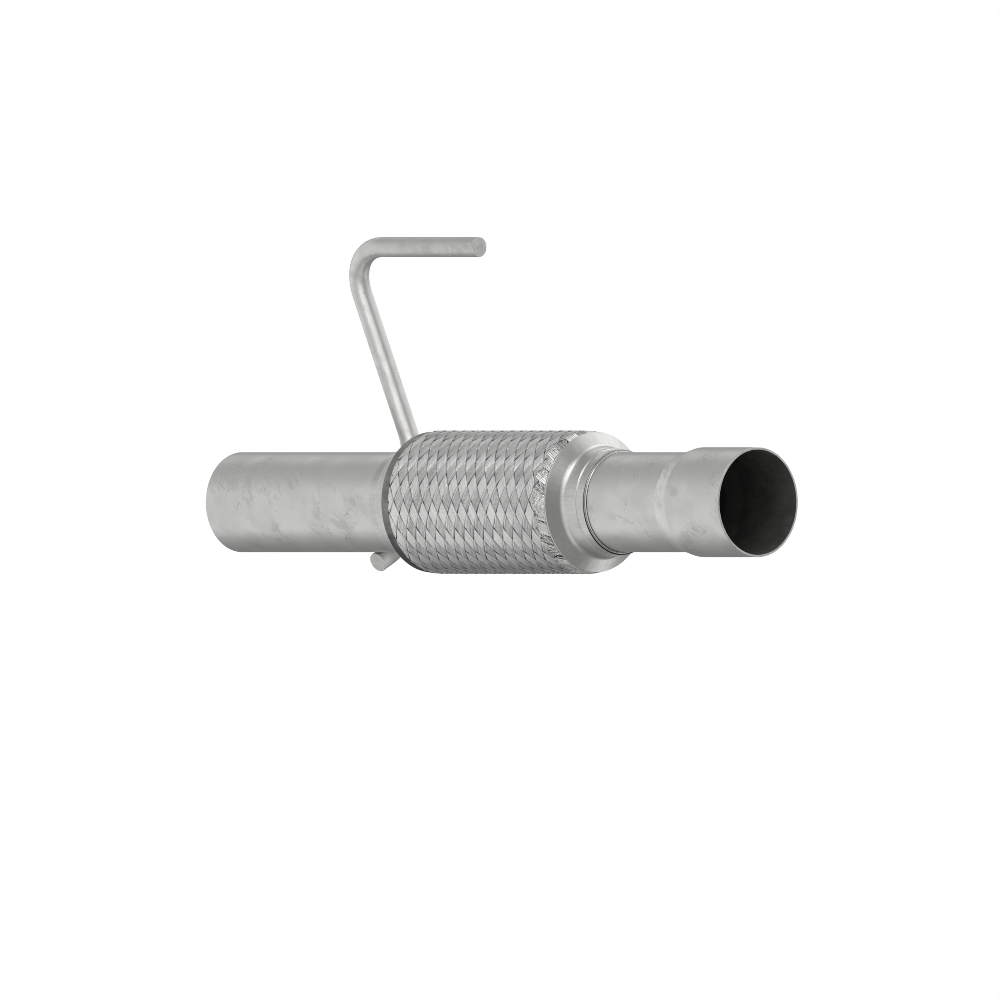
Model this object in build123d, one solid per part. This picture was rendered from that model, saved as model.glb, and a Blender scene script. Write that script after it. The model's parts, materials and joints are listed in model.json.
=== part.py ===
from build123d import *
import math
import os

# Intermediate exhaust pipe: two steel tubes joined by a braided flexible coupling, with a bent
# hanger rod. Millimetres. The origin is the centre of the inlet pipe's open end, +X runs along
# the gas flow to the outlet socket, and +Z is up.

# Pipes
pipe_radius = 25.0
pipe_wall = 1.2
inlet_reach = 120.2
outlet_reach = 99.2
pipe_insert = 14.0
edge_break = 0.25

# Socket flared into the end of the outlet pipe, which slips over the next pipe
socket_bore_radius = 26.3
socket_length = 39.1
flare_length = 10.0
flare_fillet = 3.5

# Coupling, from the end of one neck to the end of the other
coupling_length = 158.0
body_length = 119.6
slip = 0.05
ring_wall = 0.4
bellows_wall = 0.3
cap_wall = 0.6
layer_step = 0.35

# End caps
neck_band = 4.7
neck_step = 0.3
neck_swell = 0.85
shoulder_depth = 5.2
shoulder_fillet = 3.0
rim_radius = 35.0
rim_thickness = 0.6
rim_fillet = 0.3
skirt_length = 9.0
collar_radius = 35.2
collar_length = 4.6
collar_fillet = 0.4

# Outer braid, woven over one and under one
strands = 16
braid_radius = 36.15
braid_relief = 0.7
braid_thickness = 2.1
braid_end_wall = 1.1
braid_pitch = 7.06
braid_columns = 30
braid_turn = -13.1
braid_lead_in = 1.47
edge_inset = 0.18
fray_height = 0.9
tuck = 2.6

# Bellows and liner inside the coupling. The roots and crests are where the flanks of the folds
# would meet if they weren't rounded.
bellows_root_radius = 26.0
bellows_crest_radius = 33.4
bellows_folds = 14
fold_fillet = 1.0
bellows_cuff = 21.0
liner_radius = 24.2
liner_wall = 1.4
liner_grip = 10.0

# Hanger rod, bent round the far side of the inlet pipe
rod_radius = 5.0
rod_chamfer = 0.2
hanger_x = 91.5
arm_height = 127.6
arm_side = -13.9
arm_length = 96.95
arm_bend_radius = 26.0
knee_height = 30.0
knee_bend_radius = 25.0
wrap_angle = 62.5
foot_length = 7.6

# Welds
bead_leg = 6.8
bead_rise = 4.4
bead_root = 1.2
bead_bulge = 0.5
bead_top_angle = 8.0
bead_bottom_angle = -52.0
neck_weld_leg = 0.55

# Sizes that follow from the ones above
pipe_bore_radius = pipe_radius - pipe_wall
socket_radius = socket_bore_radius + pipe_wall
middle = inlet_reach + coupling_length / 2
coupling_end = inlet_reach + coupling_length
overall_length = coupling_end + outlet_reach
half_coupling = coupling_length / 2
half_body = body_length / 2
pipe_stop = half_coupling - pipe_insert
ring_bore_radius = pipe_radius + slip
ring_radius = ring_bore_radius + ring_wall
cuff_bore_radius = ring_radius + slip
cuff_radius = cuff_bore_radius + bellows_wall
neck_bore_radius = cuff_radius + slip
neck_radius = neck_bore_radius + cap_wall
swell_radius = neck_radius + neck_step + neck_swell
braid_bore_radius = braid_radius - braid_thickness
step_angle = 180 / strands
braid_flat_radius = braid_bore_radius * math.cos(math.radians(step_angle / 2))
skirt_radius = braid_flat_radius - slip
collar_bore_radius = collar_radius - cap_wall
rod_line_radius = pipe_radius + slip + rod_radius


def turned(corners):
    """Solid turned about the pipe's axis. A corner is x and radius, and a fillet where it has one."""
    points = [(corner[0], 0, corner[1]) for corner in corners]
    fillets = [corner[2] if len(corner) > 2 else 0 for corner in corners]
    outline = FilletPolyline(*points, radius=fillets, close=True)
    return revolve(make_face(outline), Axis.X, 360)


def outlet_side(corners):
    """Corners given from the coupling's middle, moved to the outlet's half."""
    return [(middle + corner[0], *corner[1:]) for corner in corners]


def at_inlet(solid):
    """The same solid at the coupling's other end."""
    return mirror(solid, Plane.YZ.offset(middle))


def inlet_pipe():
    end = inlet_reach + pipe_insert
    return turned(
        [
            (0, pipe_bore_radius),
            (0, pipe_radius - edge_break),
            (edge_break, pipe_radius),
            (end, pipe_radius),
            (end, pipe_bore_radius),
        ]
    )


def outlet_pipe():
    """A tube whose end is opened over a cone into the socket."""
    start = coupling_end - pipe_insert
    socket_start = overall_length - socket_length
    flare_start = socket_start - flare_length
    return turned(
        [
            (start, pipe_bore_radius),
            (start, pipe_radius),
            (flare_start, pipe_radius, flare_fillet),
            (socket_start, socket_radius, flare_fillet),
            (overall_length - edge_break, socket_radius),
            (overall_length, socket_radius - edge_break),
            (overall_length, socket_bore_radius),
            (socket_start, socket_bore_radius, flare_fillet),
            (flare_start, pipe_bore_radius, flare_fillet),
        ]
    )


def shoulder_slope():
    """How far the shoulder runs along the axis for each millimetre that its radius shrinks."""
    return shoulder_depth / (rim_radius - swell_radius)


def neck_outside():
    """The neck from its open end to the shoulder's foot, on the outside of the sheet."""
    end = half_coupling - 2 * layer_step
    band = end - neck_band
    return [
        (end, neck_radius),
        (band, neck_radius),
        (band - neck_step, neck_radius + neck_step),
        (half_body + shoulder_depth, swell_radius, shoulder_fillet),
    ]


def shoulder_inside(radius):
    """Where the inside of the shoulder's sheet has this radius, from the coupling's middle."""
    slope = shoulder_slope()
    lean = math.hypot(1, slope) * cap_wall
    return half_body + shoulder_depth - lean - (radius - swell_radius) * slope


def neck_inside():
    """The same line on the inside of the sheet, from the shoulder's foot to the open end."""
    end = half_coupling - 2 * layer_step
    foot_radius = swell_radius - cap_wall
    return [
        (shoulder_inside(foot_radius), foot_radius, shoulder_fillet + cap_wall),
        (end - neck_band, neck_bore_radius),
        (end, neck_bore_radius),
    ]


def outlet_end_cap():
    """Pressed cap with a rim that the braid butts on, and a skirt that goes inside the braid."""
    rim_back = half_body - rim_thickness
    skirt_end = half_body - skirt_length
    skirt_bore = skirt_radius - cap_wall
    rim = [
        (half_body, rim_radius, rim_fillet),
        (rim_back, rim_radius),
        (rim_back, skirt_radius),
        (skirt_end, skirt_radius),
        (skirt_end, skirt_bore),
        (shoulder_inside(skirt_bore), skirt_bore),
    ]
    return turned(outlet_side(neck_outside() + rim + neck_inside()))


def inlet_end_cap():
    """The same pressing, whose edge is turned back over the braid as a collar."""
    collar_end = half_body - collar_length
    collar = [
        (half_body, collar_radius, collar_fillet),
        (collar_end, collar_radius),
        (collar_end, collar_bore_radius),
        (shoulder_inside(collar_bore_radius), collar_bore_radius),
    ]
    return at_inlet(turned(outlet_side(neck_outside() + collar + neck_inside())))


def backing_ring():
    """Stepped ring inside the neck: its wide end takes the pipe, and its narrow end the liner."""
    stop = pipe_stop - slip
    grip_bore = liner_radius + slip
    return turned(
        outlet_side(
            [
                (half_coupling, ring_bore_radius),
                (half_coupling, ring_radius),
                (stop - ring_wall, ring_radius),
                (stop - ring_wall, grip_bore + ring_wall),
                (stop - liner_grip, grip_bore + ring_wall),
                (stop - liner_grip, grip_bore),
                (stop, grip_bore),
                (stop, ring_bore_radius),
            ]
        )
    )


def interlock_liner():
    """Strip-wound inner tube, between the ends of the two pipes."""
    end = pipe_stop - 2 * slip
    return turned(
        [
            (middle - end, liner_radius - liner_wall),
            (middle - end, liner_radius),
            (middle + end, liner_radius),
            (middle + end, liner_radius - liner_wall),
        ]
    )


def bellows():
    """Folded tube with a plain cuff in each neck. The folds are rounded inside and outside about
    the same centres, so that the wall keeps its thickness."""
    cuff_end = half_coupling - layer_step
    half_folds = cuff_end - bellows_cuff
    half_fold = half_folds / bellows_folds
    rise = bellows_crest_radius - bellows_root_radius
    wall = bellows_wall * math.hypot(half_fold, rise) / half_fold
    tight = fold_fillet
    wide = fold_fillet + bellows_wall
    crests = range(1, 2 * bellows_folds, 2)
    roots = range(2, 2 * bellows_folds, 2)
    outside = [(half_fold * k - half_folds, bellows_crest_radius, wide) for k in crests]
    outside += [(half_fold * k - half_folds, bellows_root_radius, tight) for k in roots]
    inside = [(x, r - wall, tight if fillet == wide else wide) for x, r, fillet in outside]
    outside = [(-half_folds, cuff_radius), *sorted(outside), (half_folds, cuff_radius)]
    inside = [(half_folds, cuff_bore_radius), *sorted(inside)[::-1], (-half_folds, cuff_bore_radius)]
    ends = [(cuff_end, cuff_radius), (cuff_end, cuff_bore_radius)]
    far_ends = [(-x, r) for x, r in reversed(ends)]
    return turned(outlet_side(outside + ends + inside + far_ends))


def round_point(x, radius, angle):
    """A point at a distance from the pipe's axis. The angle is from +Y towards +Z."""
    turn = math.radians(angle + braid_turn)
    return Vector(x, radius * math.cos(turn), radius * math.sin(turn))


def flat_faces(*corners):
    """A patch of three or four corners as triangles."""
    triangles = [corners[:3], (corners[0], *corners[2:])] if len(corners) == 4 else [corners]
    return [Face(Wire.make_polygon(triangle)) for triangle in triangles]


def braid_crossing(x, angle, lean):
    """The stretch of one strand that lies over another: a diamond with four corners in the
    grooves. It is level along its middle, drops at the strand's own two edges, and slopes down
    where the strand dives. The lean is 1 or -1, for the strand's direction."""
    groove = braid_radius - braid_relief
    half = braid_pitch / 2
    start = round_point(x - half, groove, angle)
    end = round_point(x + half, groove, angle)
    near = round_point(x, groove, angle + lean * step_angle)
    far = round_point(x, groove, angle - lean * step_angle)
    reach = (1 - edge_inset) / 2
    back = round_point(x - reach * half, braid_radius, angle + lean * reach * step_angle)
    front = round_point(x + reach * half, braid_radius, angle - lean * reach * step_angle)
    patches = [
        (start, back, near),
        (end, front, far),
        (start, far, front, back),
        (end, near, back, front),
    ]
    return [face for patch in patches for face in flat_faces(*patch)]


def braid_band(first, second):
    """The wall between two rings of points that have the same angles."""
    faces = []
    for k in range(2 * strands):
        after = (k + 1) % (2 * strands)
        faces += flat_faces(first[k], first[after], second[after], second[k])
    return faces


def outer_braid():
    """Woven sleeve as one wall: a diamond for each crossing, a plain lead-in that is tucked in
    the inlet collar, and crushed wire ends at the outlet rim."""
    rows = range(2 * strands)
    half = braid_pitch / 2
    groove = braid_radius - braid_relief
    tucked_radius = collar_bore_radius - slip
    collar_mouth = middle - half_body + collar_length
    first_x = collar_mouth + braid_lead_in
    last_x = middle + half_body - rim_thickness - slip
    fray_x = (first_x + braid_columns * half + last_x) / 2

    def ring(x, radius):
        return [round_point(x, radius, k * step_angle) for k in rows]

    def ragged_ring(column, inward):
        shift = [column + inward * ((k + column) % 2) for k in rows]
        return [round_point(first_x + shift[k] * half, groove, k * step_angle) for k in rows]

    frayed = [
        round_point(fray_x, rim_radius - slip + fray_height * (k % 2), k * step_angle)
        for k in rows
    ]
    rings = [
        ring(collar_mouth - tuck, tucked_radius - braid_end_wall),
        ring(collar_mouth - tuck, tucked_radius),
        ring(collar_mouth, tucked_radius),
        ragged_ring(0, 1),
        ragged_ring(braid_columns, -1),
        frayed,
        ring(last_x, rim_radius - slip),
        ring(last_x, braid_bore_radius),
        ring(first_x, braid_bore_radius),
    ]
    faces = []
    for index, first in enumerate(rings):
        if index != 3:
            faces += braid_band(first, rings[(index + 1) % len(rings)])
    for column in range(1, braid_columns):
        for k in rows:
            if (column + k) % 2:
                lean = 1 if k % 2 else -1
                x = first_x + column * half
                faces += braid_crossing(x, k * step_angle, lean)
    return Solid(Shell(faces))


def hanger_rod():
    """One bent bar: the arm along the pipe, the leg down past its side, and the foot round it."""
    wrap = math.radians(wrap_angle)
    corner_drop = rod_line_radius * math.tan(wrap / 2)
    reach = corner_drop + foot_length
    toe_y = rod_line_radius - reach * math.sin(wrap)
    toe_z = -corner_drop - reach * math.cos(wrap)
    line = FilletPolyline(
        (hanger_x + arm_length, arm_side, arm_height),
        (hanger_x, arm_side, arm_height),
        (hanger_x, rod_line_radius, knee_height),
        (hanger_x, rod_line_radius, -corner_drop),
        (hanger_x, toe_y, toe_z),
        radius=[arm_bend_radius, knee_bend_radius, rod_line_radius],
    )
    section = Plane(origin=line @ 0, z_dir=line % 0) * Circle(rod_radius)
    rod = sweep(section, path=line)
    ends = rod.faces().filter_by(GeomType.PLANE)
    return chamfer(ends.edges(), rod_chamfer)


def hanger_bead(side):
    """Fillet weld in the angle between the rod and the pipe. The side is 1 towards the outlet."""
    seat = pipe_radius + slip
    rod_gap = rod_radius + slip

    def on_rod(x):
        return rod_line_radius - math.sqrt(rod_gap**2 - x**2)

    top_x = math.sqrt(rod_gap**2 - (rod_line_radius - seat - bead_rise) ** 2)
    half_way = (bead_root + top_x) / 2
    root = (bead_root, 0, on_rod(bead_root))
    top = (top_x, 0, seat + bead_rise)
    toe = (bead_leg, 0, seat)
    outside = Vector((top_x + bead_leg) / 2 + bead_bulge, 0, seat + bead_rise / 2 + bead_bulge)
    outline = [
        Line((bead_root, 0, seat), root),
        ThreePointArc(root, (half_way, 0, on_rod(half_way)), top),
        ThreePointArc(top, outside, toe),
        Line(toe, (bead_root, 0, seat)),
    ]
    section = make_face(outline)
    if side < 0:
        section = mirror(section, Plane.YZ)
    section = Pos(hanger_x, 0, 0) * Rot(bead_bottom_angle - 90, 0, 0) * section
    return revolve(section, Axis.X, bead_top_angle - bead_bottom_angle)


def neck_weld():
    """Fine fillet weld between the innermost layer of the neck and the pipe."""
    return turned(
        outlet_side(
            [
                (half_coupling, ring_bore_radius),
                (half_coupling, ring_radius),
                (half_coupling + neck_weld_leg, ring_bore_radius),
            ]
        )
    )


parts = {
    "inlet_pipe": inlet_pipe(),
    "outlet_pipe": outlet_pipe(),
    "inlet_end_cap": inlet_end_cap(),
    "outlet_end_cap": outlet_end_cap(),
    "outer_braid": outer_braid(),
    "bellows": bellows(),
    "interlock_liner": interlock_liner(),
    "inlet_backing_ring": at_inlet(backing_ring()),
    "outlet_backing_ring": backing_ring(),
    "hanger_rod": hanger_rod(),
    "hanger_weld_inlet_side": hanger_bead(-1),
    "hanger_weld_outlet_side": hanger_bead(1),
    "inlet_neck_weld": at_inlet(neck_weld()),
    "outlet_neck_weld": neck_weld(),
}

os.makedirs("parts", exist_ok=True)
for name, solid in parts.items():
    export_step(solid, f"parts/{name}.step")
    print(name, round(solid.volume, 1), solid.is_valid)
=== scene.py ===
import json
import bpy
import numpy as np
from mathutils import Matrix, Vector

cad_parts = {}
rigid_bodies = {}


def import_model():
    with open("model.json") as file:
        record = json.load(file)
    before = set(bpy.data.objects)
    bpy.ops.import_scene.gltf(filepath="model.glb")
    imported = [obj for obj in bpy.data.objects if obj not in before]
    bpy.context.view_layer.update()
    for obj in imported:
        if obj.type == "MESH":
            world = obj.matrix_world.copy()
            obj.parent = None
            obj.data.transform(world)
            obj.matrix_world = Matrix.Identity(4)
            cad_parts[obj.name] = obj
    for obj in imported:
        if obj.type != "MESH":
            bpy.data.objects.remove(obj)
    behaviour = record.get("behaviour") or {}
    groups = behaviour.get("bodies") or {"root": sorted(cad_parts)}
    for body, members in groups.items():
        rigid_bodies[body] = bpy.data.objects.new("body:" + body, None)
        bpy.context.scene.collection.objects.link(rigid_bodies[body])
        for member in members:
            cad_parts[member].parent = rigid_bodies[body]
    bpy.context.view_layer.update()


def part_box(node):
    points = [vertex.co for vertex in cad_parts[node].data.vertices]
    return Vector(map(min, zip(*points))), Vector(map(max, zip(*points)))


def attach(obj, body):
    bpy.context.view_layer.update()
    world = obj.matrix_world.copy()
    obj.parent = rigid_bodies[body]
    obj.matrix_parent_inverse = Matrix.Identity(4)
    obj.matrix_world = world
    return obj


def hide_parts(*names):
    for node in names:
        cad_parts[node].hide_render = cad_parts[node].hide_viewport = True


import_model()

# Intermediate exhaust pipe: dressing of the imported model. Lengths here are millimetres and
# angles degrees; a mesh is brought to metres when it is made. X runs along the gas flow.
metresPerMm, mmPerMetre = 0.001, 1000
rng = np.random.default_rng(7)
scene = bpy.context.scene


def nodeBox(node):
    return [np.array(corner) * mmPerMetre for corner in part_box(node)]


def span(node):
    # lowest x, highest x and outer radius of a node that was turned about the X axis
    low, high = nodeBox(node)
    return low[0], high[0], max(abs(v) for v in (*low[1:], *high[1:]))


# the default cube, lamp and camera go
for thing in [o for o in bpy.data.objects if o.name in ("Cube", "Light", "Camera")]:
    bpy.data.objects.remove(thing)


def newObject(name, data):
    thing = bpy.data.objects.new(name, data)
    scene.collection.objects.link(thing)
    return thing


def newMaterial(name):
    material = bpy.data.materials.new(name)
    material.use_nodes = True
    return material, material.node_tree.nodes["Principled BSDF"]


# Camera: flat side view, seen from the outlet's end and the arm's side
viewing = {"azimuth": 46.9, "frameWidth": 500.0, "target": (188.7, 0.0, 1.1), "distance": 2000.0,
           "farthest": 10000.0, "filterWidth": 0.9}  # the filter's width in pixels, for crisp edges


def placeCamera():
    turn = np.radians(viewing["azimuth"])
    back = Vector((np.sin(turn), -np.cos(turn), 0.0))
    data = bpy.data.cameras.new("sideCamera")
    data.type = "ORTHO"
    data.ortho_scale = viewing["frameWidth"] * metresPerMm
    data.clip_end = viewing["farthest"] * metresPerMm
    camera = newObject("sideCamera", data)
    camera.location = (Vector(viewing["target"]) + back * viewing["distance"]) * metresPerMm
    camera.rotation_mode = "QUATERNION"
    camera.rotation_quaternion = (-back).to_track_quat("-Z", "Y")
    scene.camera = camera
    scene.view_settings.view_transform = "Standard"
    scene.cycles.filter_width = viewing["filterWidth"]


placeCamera()
print("camera placed")


# Surfaces

def gridFaces(rows, columns, closeRows=False):
    # quads of a grid of rows x columns points, each corner by its number in the flat list; the
    # columns always close to a loop
    i = np.arange(rows if closeRows else rows - 1)[:, None]
    j = np.arange(columns)[None, :]
    nextI, nextJ = (i + 1) % rows, (j + 1) % columns
    corners = (i * columns + j, i * columns + nextJ, nextI * columns + nextJ, nextI * columns + j)
    return np.stack(np.broadcast_arrays(*corners), -1).reshape(-1, 4)


def loopFaces(count, rows, columns, flip=False):
    # for each of count tubes: walls between neighbouring loops of points and a face on each end
    wall = gridFaces(rows, columns)
    start = np.arange(columns)[::-1]
    end = (rows - 1) * columns + start[::-1]
    if flip:
        wall, start, end = wall[:, ::-1], start[::-1], end[::-1]
    faces = []
    for shift in range(0, count * rows * columns, rows * columns):
        faces += (wall + shift).tolist() + [(start + shift).tolist(), (end + shift).tolist()]
    return faces


def roundAxis(x, radius, turn):
    # points about the pipe's axis: (x, radius x cos turn, radius x sin turn), turn in radians
    return np.stack(np.broadcast_arrays(x, radius * np.cos(turn), radius * np.sin(turn)), -1)


def fullTurn(columns):
    return np.linspace(0, 2 * np.pi, columns, endpoint=False)


def setAttribute(mesh, name, values):
    mesh.attributes.new(name, "FLOAT", "POINT").data.foreach_set("value", np.ravel(values))


def makePiece(name, points, faces, slot, node, materials, uv=None, **attributes):
    # points in millimetres; uv and the attributes hold one value for each point
    mesh = bpy.data.meshes.new(name)
    places = np.reshape(points, (-1, 3)) * metresPerMm
    mesh.from_pydata(places.tolist(), [], [list(f) for f in faces])
    mesh.polygons.foreach_set("use_smooth", np.ones(len(mesh.polygons), dtype=bool))
    for material in materials:
        mesh.materials.append(material)
    if uv is not None:
        order = np.empty(len(mesh.loops), dtype=np.int32)
        mesh.loops.foreach_get("vertex_index", order)
        layer = mesh.uv_layers.new(name="surface")
        layer.data.foreach_set("uv", np.reshape(uv, (-1, 2))[order].astype(np.float32).ravel())
    for key, values in attributes.items():
        setAttribute(mesh, key, values)
    piece = newObject(name, mesh)
    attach(piece, "root")
    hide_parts(node)
    return piece


def paintRows(piece, rows):
    # each row of faces has the number of its material
    columns = len(piece.data.polygons) // len(rows)
    piece.data.polygons.foreach_set("material_index", np.repeat(rows, columns).astype(np.int32))


def smoothStep(value, low, high):
    s = np.clip((value - low) / (high - low), 0, 1)
    return s * s * (3 - 2 * s)


def shadeLower(piece, low, high):
    # painted shade: tone rises by 1 from the height low to the height high, both as shares of the
    # outer radius and counted downwards, so the lower part is darker
    place = np.empty(len(piece.data.vertices) * 3)
    piece.data.vertices.foreach_get("co", place)
    down = -place.reshape(-1, 3)[:, 2]
    setAttribute(piece.data, "tone", 0.5 + smoothStep(down / down.max(), low, high))


def travelled(path):
    # distance along a path at each of its points
    return np.r_[0, np.cumsum(np.linalg.norm(np.diff(path, axis=0), axis=1))]


def filletPath(corners, radii, closed=False, arcStep=7.0, runStep=5.0, guard=0.12, arcPoints=(3, 14)):
    # Straight runs between the corners, and at each corner an arc that touches both runs: its
    # ends lie radius x tan(half the turn) from the corner. A run has a point close to each end,
    # by the length guard, and evenly spaced points between.
    corners = np.asarray(corners, float)
    count = len(corners)
    arcs = []
    for k, (here, radius) in enumerate(zip(corners, radii)):
        if not closed and k in (0, count - 1):
            arcs.append(here[None])
            continue
        into = here - corners[k - 1]
        out = corners[(k + 1) % count] - here
        into, out = into / np.linalg.norm(into), out / np.linalg.norm(out)
        turn = np.arccos(np.clip(into @ out, -1, 1))
        side = out - into * (into @ out)
        side /= np.linalg.norm(side)
        centre = here - into * radius * np.tan(turn / 2) + side * radius
        many = np.clip(int(np.degrees(turn) / arcStep) + 2, *arcPoints)
        steps = np.linspace(0, turn, many)[:, None]
        arcs.append(centre + radius * (into * np.sin(steps) - side * np.cos(steps)))
    line = []
    for k, arc in enumerate(arcs):
        line.append(arc)
        if closed or k < count - 1:
            start, end = arc[-1], arcs[(k + 1) % count][0]
            length = np.linalg.norm(end - start)
            if length > 3 * guard:
                inner = np.linspace(guard, length - guard, max(2, int(length / runStep) + 2))
                line.append(start + (end - start) * (inner / length)[:, None])
    return np.concatenate(line)


def lathe(name, corners, slot, node, materials, columns=256, edge=0.12, **spacing):
    # A closed profile carried round the pipe's axis. A corner is x, radius and fillet, and runs
    # along +X on the outside. u is the turn, v the distance along the profile.
    flat = [(c[0], c[1]) for c in corners]
    radii = [c[2] if len(c) > 2 else edge for c in corners]
    profile = filletPath(flat, radii, closed=True, **spacing)
    turn = fullTurn(columns)
    points = roundAxis(profile[:, :1], profile[:, 1:], turn)
    along = travelled(profile)[:, None] * metresPerMm
    uv = np.stack(np.broadcast_arrays(turn / (2 * np.pi), along), -1)
    faces = gridFaces(len(profile), columns, closeRows=True)
    return makePiece(name, points, faces, slot, node, materials, uv=uv), profile


# Material helpers

def addNode(tree, kind, inputs=None, **settings):
    node = tree.nodes.new(kind)
    for key, value in settings.items():
        setattr(node, key, value)
    for key, value in (inputs or {}).items():
        if isinstance(value, bpy.types.NodeSocket):
            tree.links.new(value, node.inputs[key])
        else:
            node.inputs[key].default_value = value
    return node


def calculate(tree, operation, *values):
    return addNode(tree, "ShaderNodeMath", dict(enumerate(values)), operation=operation).outputs[0]


def times(tree, a, b):
    return calculate(tree, "MULTIPLY", a, b)


def plus(tree, a, b):
    return calculate(tree, "ADD", a, b)


def aboutHalf(tree, value, depth):
    # (value - 0.5) x depth: as much below zero as above it
    return times(tree, calculate(tree, "SUBTRACT", value, 0.5), depth)


def ramp(tree, value, low, high):
    # 0 at low, 1 at high, smooth between them and level beyond, with either one the larger
    settings = {"Value": value, "From Min": low, "From Max": high}
    return addNode(tree, "ShaderNodeMapRange", settings, interpolation_type="SMOOTHSTEP").outputs[0]


def mixColours(tree, share, first, second):
    # 6, 7 and 2 are the colour sockets of a Mix node
    inputs = {"Factor": share, 6: first, 7: second}
    return addNode(tree, "ShaderNodeMix", inputs, data_type="RGBA", clamp_factor=True).outputs[2]


def newGroup(name, inputs, output):
    # inputs: name and default value. Returns the group, the sockets of its inputs and its output.
    group = bpy.data.node_groups.new(name, "ShaderNodeTree")
    for key, value in inputs.items():
        kind = "NodeSocketVector" if isinstance(value, tuple) else "NodeSocketFloat"
        socket = group.interface.new_socket(key, in_out="INPUT", socket_type=kind)
        socket.default_value = value
    group.interface.new_socket(output, in_out="OUTPUT", socket_type="NodeSocketFloat")
    given = group.nodes.new("NodeGroupInput").outputs
    return group, given, group.nodes.new("NodeGroupOutput").inputs[output]


def useGroup(tree, group, **inputs):
    return addNode(tree, "ShaderNodeGroup", inputs, node_tree=group).outputs[0]


# Light: soft lamps all round, each a smooth spot on the sky. The camera itself sees white.
# name: turn from +X towards +Y, height above the horizon, sharpness of the edge, strength
studioLamps = {
    "front": (240, -17, 5, 0.39),
    "top": (262, 60, 16, 1.10),
    "frontLeft": (220, 17, 25, 0.24),
    "left": (185, -14, 12, 0.52),
    "leftUp": (182, 20, 20, 0.42),
    "lowLeft": (205, -42, 40, 0.22),
    "highLeft": (155, 35, 40, 0.34),
    "limb": (130, 5, 40, 0.15),
    "farRim": (105, 5, 40, 0.50),
    "farHigh": (96, 32, 20, 0.42),
    "high": (52, 44, 12, 0.40),
    "farRight": (70, 10, 8, 0.50),
    "low": (72, -40, 24, 0.50),
    "right": (30, 0, 12, 0.34),
    "zenith": (98, 60, 20, 0.85),
    "crescentHigh": (286, 34, 12, 0.55),
    "crescent": (288, -12, 8, 0.32),
    "crescentLow": (300, -62, 10, 0.35),
    "crease": (322, 42, 20, 0.60),
}
studio = {"ambient": 0.17, "steelReflects": 0.80, "background": 1.0}


def towards(azimuth, height):
    # the direction of a lamp, seen from the part
    turn, rise = np.radians((azimuth, height))
    return Vector((np.cos(turn) * np.cos(rise), np.sin(turn) * np.cos(rise), np.sin(rise)))


def softLamp():
    # strength x e^(sharpness x (cosine of the angle to the lamp - 1))
    inputs = {"Ray": (0, 0, 0), "Lamp": (0, 0, 1), "Sharpness": 8.0, "Strength": 1.0}
    group, given, light = newGroup("softLamp", inputs, "Light")
    cosine = addNode(group, "ShaderNodeVectorMath", {0: given["Ray"], 1: given["Lamp"]},
                     operation="DOT_PRODUCT").outputs["Value"]
    power = times(group, calculate(group, "SUBTRACT", cosine, 1.0), given["Sharpness"])
    group.links.new(times(group, calculate(group, "EXPONENT", power), given["Strength"]), light)
    return group


def lightWorld():
    world = bpy.data.worlds.new("studio")
    scene.world = world
    world.use_nodes = True
    tree = world.node_tree
    tree.nodes.clear()
    ray = addNode(tree, "ShaderNodeTexCoord").outputs["Generated"]
    lamp = softLamp()
    total = studio["ambient"]
    for azimuth, height, sharpness, strength in studioLamps.values():
        spot = useGroup(tree, lamp, Ray=ray, Lamp=towards(azimuth, height), Sharpness=sharpness,
                        Strength=strength)
        total = plus(tree, spot, total)
    lit = addNode(tree, "ShaderNodeBackground",
                  {"Color": total, "Strength": 1 / studio["steelReflects"]})
    white = addNode(tree, "ShaderNodeBackground",
                    {"Color": (1, 1, 1, 1), "Strength": studio["background"]})
    path = addNode(tree, "ShaderNodeLightPath")
    mixed = addNode(tree, "ShaderNodeMixShader",
                    {0: path.outputs["Is Camera Ray"], 1: lit.outputs[0], 2: white.outputs[0]})
    addNode(tree, "ShaderNodeOutputWorld", {"Surface": mixed.outputs[0]})


lightWorld()

# one more lamp for the hanger rod alone, which nothing but the rod shades: a wide distant disc
rodLamp = {"azimuth": 325, "height": -27, "width": 60, "strength": 0.57}


def lightRod(piece):
    data = bpy.data.lights.new("rodLamp", "SUN")
    data.angle = np.radians(rodLamp["width"])
    data.energy = rodLamp["strength"]
    data.cycles.use_multiple_importance_sampling = False
    lamp = newObject("rodLamp", data)
    lamp.rotation_mode = "QUATERNION"
    lamp.rotation_quaternion = towards(rodLamp["azimuth"], rodLamp["height"]).to_track_quat("Z", "Y")
    lit = bpy.data.collections.new("litByRodLamp")
    lit.objects.link(piece)
    lamp.light_linking.receiver_collection = lamp.light_linking.blocker_collection = lit


print("studio lit")

# Surface effects, shared by the finishes. Patterns have their sizes in metres, here and in the
# finishes, and the slant of the smears is in radians.
smearMarks = {"slant": -0.8, "drawnOut": (0.45, 1.0, 1.0), "patch": (0.52, 0.62), "patchShare": 0.55,
              "patchBend": 0.6, "lineScale": 0.6, "lineMiddle": 0.45, "lineWidth": 0.022,
              "lineBend": 1.2, "broadScale": 0.3, "broadEdge": 0.12}


def noiseAt(tree, place, scale, detail, distortion=0.0):
    inputs = {"Vector": place, "Scale": scale, "Detail": detail, "Distortion": distortion}
    return addNode(tree, "ShaderNodeTexNoise", inputs).outputs["Fac"]


def cloudGroup():
    # soft clouds of handling marks: broad noise, 0.5 in the middle
    group, given, result = newGroup("clouds", {"Size": 0.015}, "Clouds")
    place = addNode(group, "ShaderNodeTexCoord").outputs["Object"]
    scale = calculate(group, "DIVIDE", 1.0, given["Size"])
    group.links.new(noiseAt(group, place, scale, 3.0), result)
    return group


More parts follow.
